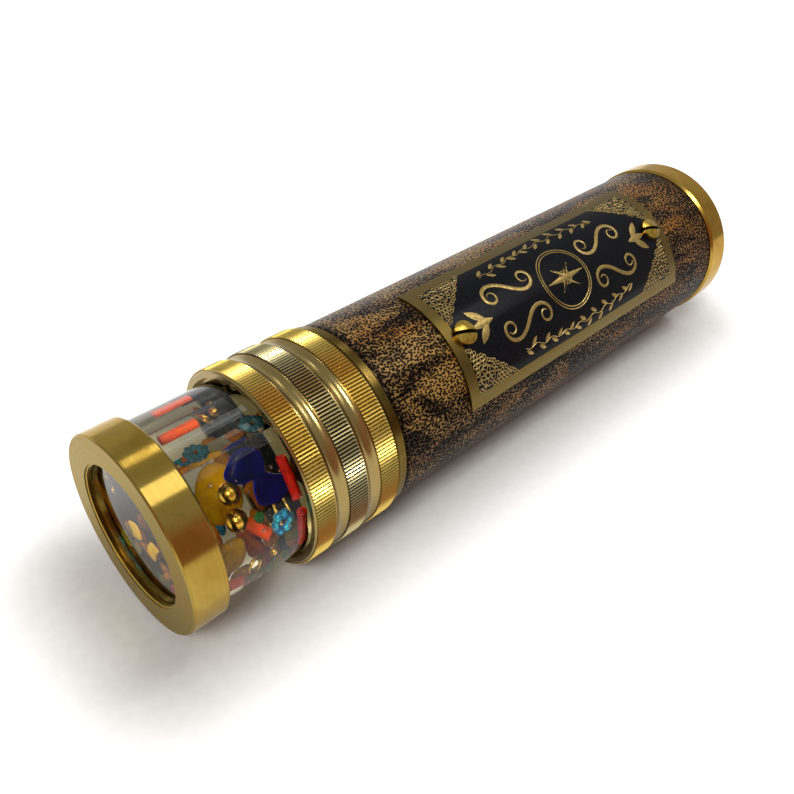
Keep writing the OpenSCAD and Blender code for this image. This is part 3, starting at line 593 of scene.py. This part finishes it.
class KALEIDOSCOPE_OT_plate(bpy.types.Operator):
    """Finish the black field of the plate and build its lace corners, star and scrolls"""
    bl_idname = "kaleidoscope.plate"
    bl_label = "Plate ornament"

    def execute(self, context):
        sizes = context.scene.kal_plate
        # black field: baked gloss enamel with a little orange peel that breaks up the highlights
        enamel = plain_finish("baked_black_enamel", "#0E0F14", "#060607", 0.17, 0.7, relief=0.02,
                              Specular_IOR_Level=0.09)
        dress(enamel, "nameplate_inlay")
        # ornament: brass left standing as the ground was etched away, a soft pale yellow against the black
        etched = plain_finish("etched_brass_line", "#BEA264", "#8E7842", 0.36, 0.5, Metallic=1.0)
        grounds = [self.ground(sizes, *corner) for corner in CORNERS]
        loops = [loop for corner in CORNERS for loop in self.lace(sizes, *corner)]
        rings = [(k * MM, k * MM) for k in (1.5, 6.5, 7.1)]
        star = [self.star(sizes)] + lace_loops([(0, 0)] * 3, rings, [0] * 3, 1.3 * sizes.line, 0.05 * MM, steps=72)
        scrolls = [self.scroll(sizes, *corner) for corner in CORNERS] + [self.vine(side) for side in SIDES]
        leaves = [leaf((end * (26.6 + 0.6 * abs(k)) * MM, 1.9 * k * MM), (6 - abs(k)) * MM, 1.7 * MM, end * 0.75 * k)
                  for end in SIDES for k in (-1, 0, 1)] + [one for side in SIDES for one in self.vine_leaves(side)]
        piece(context, "plate_lace_ground", grounds, enamel, "tube", crease=40)
        for name, shells, crease in (("plate_lace", loops, 30), ("plate_star", star, 20),
                                     ("plate_scrolls", scrolls, 30), ("plate_leaves", leaves, 20)):
            piece(context, name, shells, etched, "tube", crease=crease)
        return {"FINISHED"}

    def edge(self, sizes, share):
        """Width of a lace corner at a share of its reach: a straight slope with five round scallops on it."""
        return sizes.rise * (1 - share) + 0.75 * MM * np.abs(np.sin(5 * math.pi * share)) * np.sqrt(1 - share)

    def ground(self, sizes, end, side):
        """Thin black sheet under a lace corner, from the corner to the scalloped edge."""
        share = np.linspace(0, 1, 61)[:, None]
        over = np.linspace(0, 1, 9)[None]
        across = self.edge(sizes, share) * np.concatenate([over, over[:, ::-1]], 1)
        lift = np.concatenate([np.full_like(over, 0.02), np.full_like(over, -0.02)], 1) * MM
        along = np.broadcast_to(sizes.reach * share, across.shape)
        return shell(on_plate(end * (INLAY_REACH - along), side * (INLAY_HALF - across), lift))

    def lace(self, sizes, end, side):
        """Loops of one corner: a rosette, a net of small rings round it, and rings along the scalloped edge."""
        heart = np.array([3.0, 2.7]) * MM
        petals = np.arange(6) * TURN / 6
        ring = 1.25 * MM * np.stack([np.cos(petals), np.sin(petals)], 1) + heart
        row, column = np.meshgrid(np.arange(14), np.arange(14), indexing="ij")
        net = np.stack([(column + 0.5 * (row % 2)) * sizes.mesh + 0.5 * MM, row * sizes.mesh * 0.87 + 0.5 * MM], -1)
        net = net.reshape(-1, 2)
        room = self.edge(sizes, np.clip(net[:, 0] / sizes.reach, 0, 1)) - 1.0 * MM
        clear = np.hypot(*(net - heart).T) > 2.45 * MM
        net = net[(net[:, 1] < room) & (net[:, 0] < sizes.reach) & clear]
        share = (np.arange(17) + 0.5) / 17
        rim = np.stack([sizes.reach * share, self.edge(sizes, share) - 0.35 * MM], 1)
        centres = np.concatenate([heart[None], heart[None], ring, net, rim])
        radii = np.concatenate([[[2.1, 2.1], [0.55, 0.55]], [[0.62, 0.4]] * 6, [[0.4, 0.4]] * len(net),
                                [[0.36, 0.36]] * len(rim)]) * MM
        turns = np.concatenate([[0, 0], petals, np.zeros(len(net) + len(rim))]) * end * side
        placed = np.stack([end * (INLAY_REACH - centres[:, 0]), side * (INLAY_HALF - centres[:, 1])], 1)
        return lace_loops(placed, radii, turns, sizes.line, 0.02 * MM)

    def star(self, sizes):
        """Eight-pointed star: radius alternates between long, short and valley points, ridged towards each tip."""
        step = np.arange(16)
        angle = step * TURN / 16
        reach = np.where(step % 4 == 0, 1.0, np.where(step % 2 == 0, 0.66, 0.27)) * sizes.star
        return boss(reach * np.cos(angle), reach * np.sin(angle), np.where(step % 2 == 0, 0.12, 0.02) * MM)

    def scroll(self, sizes, end, side):
        """S-scroll: its curvature falls from a spiral through nothing to a spiral the other way.

        The line is the sum of short steps in the direction that the summed curvature gives, then moved,
        turned and scaled so that its two ends lie at given places on the plate. It is widest halfway.
        """
        share = np.linspace(0, 1, 150)
        heading = np.cumsum(34 * ((1 - share) ** 2.4 - share ** 2.4)) / len(share)
        line = np.cumsum(np.exp(1j * heading))
        start, stop = complex(9.6, 3.9) * MM, complex(21.6, 4.1) * MM
        line = start + (line - line[0]) * (stop - start) / (line[-1] - line[0])
        width = 0.07 * MM + sizes.stroke * (4 * share * (1 - share)) ** 0.8
        return ribbon(np.stack([end * line.real, side * line.imag], -1), width)

    def arch(self, x):
        """Height of a stem over the plate's middle, in millimetres: a flat arch with a slow wave on it."""
        return 10.4 - 1.6 * (x / 19) ** 2 + 0.35 * np.sin(1.32 * x)

    def vine(self, side):
        """Thin stem over or under the scrolls, as the arch gives it."""
        x = np.linspace(-19, 19, 120)
        return ribbon(np.stack([x, side * self.arch(x)], -1) * MM, np.full(len(x), 0.09 * MM))

    def vine_leaves(self, side):
        """Leaves along the stem, in turn on either side of it and turned away from its middle."""
        x = np.linspace(-18, 18, 19)
        aside = np.where(np.arange(19) % 2 == 0, 1.0, -1.0)
        return [leaf((a * MM, side * (b + 0.75 * c) * MM), 2.3 * MM, 0.85 * MM, side * c * 0.6 * (1 if a < 0 else -1))
                for a, b, c in zip(x, self.arch(x), aside)]


class KALEIDOSCOPE_OT_cell(bpy.types.Operator):
    """Finish the clear cell and build its oil, bubbles and the threaded rim of its window"""
    bl_idname = "kaleidoscope.cell"
    bl_label = "Oil cell"

    def execute(self, context):
        sizes = context.scene.kal_cell
        brass = context.scene.kal_brass
        # cast acrylic: water clear, with faint handling marks that soften reflections
        acrylic = plain_finish("clear_cast_acrylic", "#FCFEFD", "#F6FAF8", 0.01, 4.0, IOR=1.49,
                               Transmission_Weight=1.0, Specular_Tint=grey(0.25))
        wet = wetted(acrylic.node_tree, OIL_HIGH.z - AXIS_Z + sizes.meniscus)
        dress(lets_lamps_in(acrylic, grey(0.98), wet), "cell_barrel", "front_disc", "rear_disc")
        # float glass: the same with a slight green
        dress(plain_finish("clear_float_glass", "#F4FBF8", "#EDF7F2", 0.01, 5.0, IOR=1.52, Transmission_Weight=1.0),
              "front_window", "eye_window")
        # mineral oil: clear, but straw yellow through the depth of the cell
        oil = plain_finish("clear_mineral_oil", "#F4ECD0", "#EFE6C4", 0.004, 6.0, IOR=1.46, Transmission_Weight=1.0,
                           Specular_Tint=grey(0.4))
        lets_lamps_in(oil, "#F6F0DA", against_glass(oil.node_tree))
        piece(context, "oil_fill", [self.fill(sizes)], oil, "contents", "oil", crease=50)
        # air bubbles: the light bends the other way, from oil into air
        air = plain_finish("air_bubble_skin", "#FFFFFF", "#F8FAFA", 0.004, 1.0, IOR=1.46, Transmission_Weight=1.0)
        piece(context, "oil_bubbles", self.bubbles(sizes), lets_lamps_in(air, grey(0.95)), "contents")
        # thread: cut with a fresh tool and never lacquered, so each tooth catches a thin bright line
        thread = turned_brass("threaded_brass", brass.bright, brass.deep, brass.bright, 0.3, 0.2)
        piece(context, "window_thread", [self.thread_ring(sizes)], thread, "cell", crease=25)
        # moulded rubber: dull black with the fine bloom of its mould
        dress(plain_finish("moulded_black_rubber", "#2A2A2C", "#161618", 0.6, 0.6, relief=0.02, IOR=1.52),
              "front_gasket", "rear_gasket")
        # pressed card: fibres make it matt and mottled, and it shows grey through the cell's rear disc
        dress(plain_finish("grey_card_board", "#62584F", "#463E38", 0.85, 0.4, relief=0.05, IOR=1.45),
              "mirror_holder_front", "mirror_holder_rear")
        # glass silvered on its face: a nearly clean mirror with a faint haze
        dress(plain_finish("front_silvered_glass", "#F2F4F5", "#E6E9EC", 0.03, 8.0, Metallic=1.0),
              "mirror_a", "mirror_b", "mirror_c")
        return {"FINISHED"}

    def fill(self, sizes):
        """Oil: a cylinder cut by its level, as a distance from the axis at each place and angle.

        The distance is the bore's radius, or less where the level surface comes first. Near the glass the
        surface curls up by a falling exponential. The sides reach a hair into the glass, so that light passes
        from one to the other without a film of air between them.
        """
        lap, steepest = 0.05 * MM, 0.3
        reach = BARREL_BORE + lap
        low, high = DISC_X - lap, BARREL_HIGH.x + lap
        level = OIL_HIGH.z - AXIS_Z
        angle = np.linspace(-math.pi, math.pi, 361)[:-1]
        x = drawn_to_ends(low, high, 61)
        up = np.cos(angle)
        out = np.tan(np.clip(np.abs(angle), 0, 1.2)) * level
        half = math.sqrt(reach ** 2 - level ** 2)
        curl = np.exp(-np.clip(half - out, 0, None) / sizes.creep)[None]
        ends = np.exp(-np.minimum(x - low, high - x) / sizes.creep)[:, None]
        surface = level + sizes.meniscus * np.maximum(curl, ends)
        radius = np.where(up > steepest, np.minimum(reach, surface / np.maximum(up, steepest)), reach)
        return shell(round_axis(x[:, None], radius, angle[None]))

    def bubbles(self, sizes):
        """Small balls just under the oil's surface and against the glass, at seeded places."""
        rng = np.random.default_rng(7)
        tilt = np.linspace(0.12, math.pi - 0.12, 9)[:, None]
        turn = circle(14)[None]
        ball = np.stack(np.broadcast_arrays(np.cos(tilt), np.sin(tilt) * np.cos(turn), np.sin(tilt) * np.sin(turn)), -1)
        made = []
        for x, angle, size in zip(rng.uniform(0.12, 0.92, sizes.bubbles), rng.uniform(0.48, 1.9, sizes.bubbles),
                                  rng.uniform(0.12, 0.34, sizes.bubbles) * MM):
            place = round_axis(OIL_LOW.x + x * (OIL_HIGH.x - OIL_LOW.x), BARREL_BORE - size - 0.15 * MM, angle)
            made.append(shell(place + size * ball))
        return made

    def thread_ring(self, sizes):
        """Ring inside the window's opening whose inner face is a saw-tooth thread, turned about the axis."""
        teeth = 3
        start = CAP_LOW.x + 0.2 * MM
        step = np.arange(2 * teeth + 1)
        x = start + step * sizes.thread / 2
        inner = WINDOW_R - np.where(step % 2 == 0, 0.08, 0.34) * MM
        profile_x = np.concatenate([x, x[-1:], x[:1]])
        profile_r = np.concatenate([inner, [WINDOW_R - 0.01 * MM] * 2])
        return shell(round_axis(profile_x[:, None], profile_r[:, None], circle(160)[None]), wrap_rows=True)


# outlines of the glass pieces, in shares of their size
LEAF = np.array([(-0.5, -0.08), (-0.36, -0.3), (-0.12, -0.43), (0.16, -0.42), (0.4, -0.26), (0.5, 0.02), (0.42, 0.3),
                 (0.2, 0.44), (-0.06, 0.42), (-0.28, 0.3), (-0.44, 0.14)])
SHARD = np.array([(-0.48, -0.3), (-0.1, -0.46), (0.44, -0.36), (0.4, 0.08), (0.48, 0.42), (-0.16, 0.4), (-0.44, 0.2)])
SWIRL = np.array([(-0.3, 0.42), (-0.08, 0.5), (0.16, 0.46), (0.3, 0.3), (0.27, 0.12), (0.2, 0.0), (0.3, -0.12),
                  (0.46, -0.24), (0.5, -0.4), (0.3, -0.5), (0.02, -0.48), (-0.22, -0.34), (-0.2, -0.14),
                  (-0.08, 0.02), (-0.24, 0.06), (-0.44, 0.18), (-0.46, 0.32)])


def hang(place, u, v, w):
    """Points given along the tube, back and outwards from a bead's middle, put at its place in the oil.

    The place is a share of the cell's length, degrees from the top towards the viewer, and a share of the
    oil's radius below its edge.
    """
    share, degrees, depth = place
    angle = math.radians(degrees)
    middle = round_axis(BARREL_LOW.x + share * (BARREL_HIGH.x - BARREL_LOW.x), OIL_R * (1 - depth), angle)
    local = np.stack(np.broadcast_arrays(u, v, w), -1)
    return middle + local @ np.array([(1, 0, 0), (0, math.cos(angle), math.sin(angle)),
                                      (0, -math.sin(angle), math.cos(angle))])


class KALEIDOSCOPE_OT_beads(bpy.types.Operator):
    """Build the rounded glass pieces and flower beads in the oil and finish all the beads"""
    bl_idname = "kaleidoscope.beads"
    bl_label = "Beads"

    def execute(self, context):
        sizes = context.scene.kal_cell
        # gold coated beads: thin metal on glass, a little uneven; two small ones show through the front window
        gold = plain_finish("gold_coated_bead", sizes.gold, "#BE8C20", 0.18, 0.9, relief=0.03, Metallic=1.0)
        dress(gold, "gold_beads", "gold_rings")
        small = [self.blossom(place, 2.1 * MM, 0.3 * MM, 0) for place in ((0.10, -69, 0.24), (0.10, -77, 0.39))]
        # opaque drawn glass: strong colour with a wet gloss
        dress(plain_finish("opaque_orange_glass", sizes.orange, "#D84400", 0.08, 1.2, relief=0.05, IOR=1.05),
              "orange_tubes")
        dress(plain_finish("opaque_red_glass", sizes.red, "#8E120A", 0.08, 1.2, relief=0.05, IOR=1.2), "red_tubes")
        dress(plain_finish("opaque_green_glass", sizes.green, "#0E3318", 0.1, 0.6, IOR=1.2), "seed_beads")
        # lustred glass: a thin bright film on turquoise, so facets of it flash white and deep blue
        lustre = plain_finish("lustred_turquoise_glass", sizes.turquoise, "#0A78F8", 0.1, 0.8, relief=0.08,
                              Metallic=0.7)
        flowers = [self.blossom(place, sizes.blossom, 0.6 * MM, 6)
                   for place in ((0.735, 85, 0.171), (0.46, -150, 0.197))]
        # lacquered foil: thin scalloped discs just under the oil's surface, a dull metallic teal
        foil = plain_finish("lacquered_teal_foil", "#185468", "#082C36", 0.35, 0.6, Metallic=0.6)
        sequins = [self.blossom(place, 4.4 * MM, 0.4 * MM, 10) for place in ((0.368, 12, 0.15), (0.86, 12, 0.15))]
        # cobalt glass: nearly black through its depth, with a painted bright blue edge light where its rounded edge
        # turns away
        cobalt = plain_finish("clear_cobalt_glass", sizes.cobalt, "#020318", 0.03, 2.2, IOR=1.1,
                              Transmission_Weight=0.1)
        at_edges(cobalt, "#1622D8", 0.3)
        swirl = [self.slab(sizes, (0.70, 48, 0.395), SWIRL, 9.6 * MM, 10, 45, waist=0.06)]
        # amber glass: honey yellow, with painted brown shade where its rounded edge turns away
        amber = at_edges(self.clear_glass("amber", sizes.amber, "#AE7C00", 0.05), "#4A3004", 0.3)
        leaves = [self.slab(sizes, place, LEAF, size * MM, degrees, saddle) for place, size, degrees, saddle in (
            ((0.40, 46, 0.54), 9.0, 20, 30), ((0.27, 94, 0.30), 6.6, -15, -30), ((0.36, 130, 0.30), 5.0, 40, 30))]
        # yellow glass: paler than the amber, in thin slivers that show through the front window
        yellow = self.clear_glass("yellow", "#FFDC10", "#F0C000", 0.05)
        slivers = [self.slab(sizes, place, SHARD * shape, size * MM, degrees, saddle, back * MM, upright=True)
                   for place, shape, size, degrees, saddle, back in (
                       ((0.157, -90, 0.757), (0.85, 1.0), 4.4, 25, 20, 4.2),
                       ((0.157, 90, 0.896), (0.55, 1.2), 5.2, -20, -20, -4.6))]
        # brown, olive and rust glass: scraps that have sunk to the bottom and close it to the white floor
        scraps = self.heap(sizes)
        brown = self.clear_glass("brown", "#C07A10", "#8A4A08", 0.08)
        olive = self.clear_glass("olive", "#86802A", "#5A5A18", 0.08)
        rust = self.clear_glass("rust", "#B4560E", "#7C3208", 0.08)
        for name, shells, finish, slot, node in (
                ("flower_blossoms", flowers, lustre, "turquoise_glass", "flower_beads"),
                ("yellow_slivers", slivers, yellow, "amber_glass", None),
                ("gold_seed_beads", small, gold, "gold_coated_glass", None),
                ("teal_sequins", sequins, foil, "turquoise_glass", None),
                ("amber_leaves", leaves, amber, "amber_glass", "yellow_glass"),
                ("cobalt_swirl", swirl, cobalt, "cobalt_glass", "blue_glass"),
                ("brown_scraps", scraps[0::3], brown, "amber_glass", None),
                ("olive_scraps", scraps[1::3], olive, "amber_glass", None),
                ("rust_scraps", scraps[2::3], rust, "amber_glass", None)):
            piece(context, name, shells, finish, "contents", node)
        return {"FINISHED"}

    def clear_glass(self, name, light, low, clear):
        """Clear coloured glass: its index is given against the oil round it, so it bends light only a little."""
        finish = plain_finish(f"clear_{name}_glass", light, low, 0.03, 1.5, IOR=1.05, Transmission_Weight=clear)
        return lets_lamps_in(finish, light)

    def heap(self, sizes):
        """Scraps of glass lying in the low part of the oil: seeded places, each kept where a ball round the scrap
        clears the points of the beads and the scraps kept before it."""
        rng = np.random.default_rng(5)
        tries = 600
        taken = np.vstack([node_points(node) for node in ("gold_beads", "gold_rings", "orange_tubes", "red_tubes",
                                                          "flower_beads", "seed_beads", "yellow_glass", "blue_glass")])
        kept, made = np.empty((0, 4)), []
        for share, degrees, depth, turn, size in zip(rng.uniform(0.1, 0.92, tries), rng.uniform(96, 225, tries),
                                                     rng.uniform(0.16, 0.42, tries), rng.uniform(0, 360, tries),
                                                     rng.uniform(2.4, 4.4, tries) * MM):
            middle = hang((share, degrees, depth), 0, 0, 0)
            room = min(np.linalg.norm(taken - middle, axis=1).min() - size / 2,
                       (np.linalg.norm(kept[:, :3] - middle, axis=1) - kept[:, 3]).min(initial=1) - size / 2)
            if room > 0 and len(made) < sizes.scraps:
                kept = np.vstack([kept, [*middle, size / 2]])
                made.append(self.slab(sizes, (share, degrees, depth), SHARD, size, turn, 30))
        return made

    def slab(self, sizes, place, outline, size, degrees, saddle, back=0.0, waist=0.0, upright=False):
        """Rounded piece of glass: a smooth closed curve through the outline's points, drawn in to the middle of its
        waist as a round edge goes from one face to the other, its faces bent into a saddle. Upright, it faces along
        the tube instead of outwards."""
        step = np.linspace(0, 1, 8, endpoint=False)[None, :, None]
        a, b, c, d = (np.roll(outline, k, 0)[:, None] for k in (1, 0, -1, -2))
        curve = b + 0.5 * step * (c - a + step * (2 * a - 5 * b + 4 * c - d + step * (3 * (b - c) + d - a)))
        curve = size * curve.reshape(-1, 2)
        bend = np.linspace(-0.5, 0.5, 17)[1:-1, None] * math.pi
        reach = np.cos(bend) ** 0.45
        u = size * waist + reach * (curve[:, 0] - size * waist)
        v = reach * curve[:, 1]
        w = 0.5 * sizes.chip * np.sin(bend) + saddle * u * v
        across, behind = turned(u, v, math.radians(degrees), (0.0, back))
        along, out = (w, across) if upright else (across, w)
        return shell(hang(place, along, behind, out))

    def blossom(self, place, width, hole, petals):
        """Bead with a hole: a ring of round section whose outer side swells into petals, or stays round."""
        turn, bend = circle(72)[None], circle(16)[:, None]
        petal = np.abs(np.cos(0.5 * petals * turn)) ** 0.6
        outer = 0.5 * width * (0.8 + 0.2 * petal)
        radius = 0.5 * (outer + hole) + 0.5 * (outer - hole) * np.cos(bend)
        w = 0.17 * width * (2 - petals / 6) * np.sin(bend) * (0.75 + 0.25 * petal)
        return shell(hang(place, radius * np.cos(turn), radius * np.sin(turn), w), wrap_rows=True)


class KALEIDOSCOPE_OT_stage(bpy.types.Operator):
    """Set the floor, the soft light of a room and the camera"""
    bl_idname = "kaleidoscope.stage"
    bl_label = "Stage"

    def execute(self, context):
        scene = context.scene
        scene.view_settings.view_transform = "Standard"
        self.floor(scene)
        self.room(scene)
        # the key lamps light the cell's end and the beads; the ceiling lamps are what the rounded sides mirror
        for lamp in (("key_panel", (-0.62, -0.30, 0.85), (0.3, 0.3), 6.5),
                     ("key_bulb", (-0.60, -0.29, 0.82), (0.05, 0.05), 0.6),
                     ("ceiling_bulb", (0.44, -0.22, 0.95), (0.06, 0.04), 0.6),
                     ("ceiling_panel_front", (0.5, -0.24, 1.07), (0.8, 0.42), 2.5),
                     ("ceiling_panel_back", (0.45, 0.58, 1.05), (0.4, 0.2), 0.8)):
            self.lamp(scene, *lamp)
        self.camera(scene)
        return {"FINISHED"}

    def floor(self, scene):
        """Wide flat pale floor of matt paper, as a grid of three points by three, just under the object.

        Away from the object it is lifted to white where it is looked at, mirrored or seen through glass. Near the
        object the lift is left off, so a soft grey ring round it is a painted shadow over the real one.
        """
        made, tree, shader = finish_for("white_paper_sweep", Roughness=0.9, Emission_Color=grey(1.0))
        place = add(tree, "TexCoord").outputs["Object"]
        fibre = add(tree, "TexNoise", {"Vector": place, "Scale": 1 / (2 * MM), "Detail": 3})
        hue = add(tree, "ValToRGB", [fibre], stops=[(0.3, "#B6B4B0"), (0.7, "#BCBAB6")])
        # distance from the strip of floor under the tube
        both = add(tree, "VectorMath", [place], "ABSOLUTE")
        past = add(tree, "VectorMath", (both, (-CAP_LOW.x, KNURL_R / 2, 1)), "SUBTRACT")
        beyond = add(tree, "VectorMath", (past, (0, 0, 0)), "MAXIMUM")
        far = add(tree, "VectorMath", [beyond], "LENGTH")
        # the lift fades in from 2 to 30 mm off the tube, so the floor nearer in stays grey: a painted shadow
        lift_past_painted_shadow = add(tree, "MapRange", (far, 2 * MM, 30 * MM, 0, 0.75), interpolation_type="SMOOTHSTEP")
        rays = add(tree, "LightPath").outputs
        seen = add(tree, "Math", (rays["Is Camera Ray"], rays["Is Glossy Ray"]), "MAXIMUM")
        shown = add(tree, "Math", (seen, rays["Is Transmission Ray"]), "MAXIMUM")
        lift = add(tree, "Math", (shown, lift_past_painted_shadow), "MULTIPLY")
        feed(shader, {"Base Color": hue, "Emission Strength": lift})
        mesh = bpy.data.meshes.new("floor")
        half, drop = 3.0, 0.2 * MM
        u, v = np.meshgrid(np.linspace(-half, half, 3), np.linspace(-half, half, 3))
        corners = np.stack([u, v, np.full_like(u, -drop)], -1).reshape(-1, 3)
        mesh.from_pydata(corners.tolist(), [], [(0, 1, 4, 3), (1, 2, 5, 4), (3, 4, 7, 6), (4, 5, 8, 7)])
        mesh.materials.append(made)
        floor = bpy.data.objects.new("floor", mesh)
        scene.collection.objects.link(floor)

    def room(self, scene):
        """Plain room: a brown wall towards the viewer, grey ones beside and a pale one behind, under a grey ceiling."""
        world = bpy.data.worlds.new("room")
        world.use_nodes = True
        scene.world = world
        tree = world.node_tree
        way = add(tree, "TexCoord").outputs["Generated"]
        back = add(tree, "VectorMath", (way, (0.45, 0.89, 0)), "DOT_PRODUCT")
        turn = add(tree, "MapRange", (back, -1, 1))
        walls = add(tree, "ValToRGB", [turn], stops=[(0.22, "#B58979"), (0.95, grey(0.7)), (0.36, "#B5AEA6"),
                                                     (0.7, grey(0.52))])
        high = add(tree, "SeparateXYZ", [way]).outputs["Z"]
        over = add(tree, "MapRange", (high, 0.45, 0.7))
        hue = add(tree, "Mix", {0: over, 6: walls, 7: "#B8BABC"}, data_type="RGBA")
        feed(tree.nodes["Background"], {"Color": hue})

    def lamp(self, scene, name, place, size, power):
        """Rectangular lamp at a place, facing the object, its long side along the tube."""
        data = bpy.data.lights.new(name, "AREA")
        data.shape = "RECTANGLE"
        data.size, data.size_y = size
        data.energy = power
        made = bpy.data.objects.new(name, data)
        away = (Vector(place) - Vector((0, 0, AXIS_Z))).normalized()
        side = (Vector((1, 0, 0)) - away * away.x).normalized()
        turn = Matrix((side, away.cross(side), away)).transposed().to_4x4()
        made.matrix_world = Matrix.Translation(Vector(place)) @ turn
        scene.collection.objects.link(made)

    def camera(self, scene):
        """Camera fitted to the ring edges: place, the directions of its right side and its view, and its angle."""
        data = bpy.data.cameras.new("camera")
        data.angle = math.radians(50.46)
        data.clip_start = 0.01
        made = bpy.data.objects.new("camera", data)
        right = Vector((0.71748, -0.69172, 0.08208)).normalized()
        ahead = Vector((0.55639, 0.49820, -0.66499)).normalized()
        up = right.cross(ahead).normalized()
        place = Vector((-116.24, -88.10, 133.62)) * MM
        made.matrix_world = Matrix.Translation(place) @ Matrix((right, up, -ahead)).transposed().to_4x4()
        scene.collection.objects.link(made)
        scene.camera = made


OPERATORS = (KALEIDOSCOPE_OT_brass, KALEIDOSCOPE_OT_leather, KALEIDOSCOPE_OT_plate, KALEIDOSCOPE_OT_cell,
             KALEIDOSCOPE_OT_beads, KALEIDOSCOPE_OT_stage)


class KALEIDOSCOPE_PT_panel(bpy.types.Panel):
    """Buttons that build the kaleidoscope's pieces, with their sizes and colours"""
    bl_idname = "KALEIDOSCOPE_PT_panel"
    bl_label = "Liquid kaleidoscope"
    bl_space_type = "VIEW_3D"
    bl_region_type = "UI"
    bl_category = "Kaleidoscope"

    def draw(self, context):
        for operator in OPERATORS:
            self.layout.operator(operator.bl_idname)
        for group in GROUPS:
            settings = getattr(context.scene, group)
            for key in settings.__annotations__:
                self.layout.prop(settings, key)


CLASSES = (*GROUPS.values(), *OPERATORS, KALEIDOSCOPE_PT_panel)


def register():
    """Registers the classes and puts the property groups on the scene."""
    for item in CLASSES:
        bpy.utils.register_class(item)
    for name, group in GROUPS.items():
        setattr(bpy.types.Scene, name, PointerProperty(type=group))


def unregister():
    """Takes the property groups off the scene and unregisters the classes."""
    for name in GROUPS:
        delattr(bpy.types.Scene, name)
    for item in reversed(CLASSES):
        bpy.utils.unregister_class(item)


def main():
    """Builds every piece in order."""
    register()
    for operator in OPERATORS:
        group, call = operator.bl_idname.split(".")
        getattr(getattr(bpy.ops, group), call)()


if __name__ == "__main__":
    main()
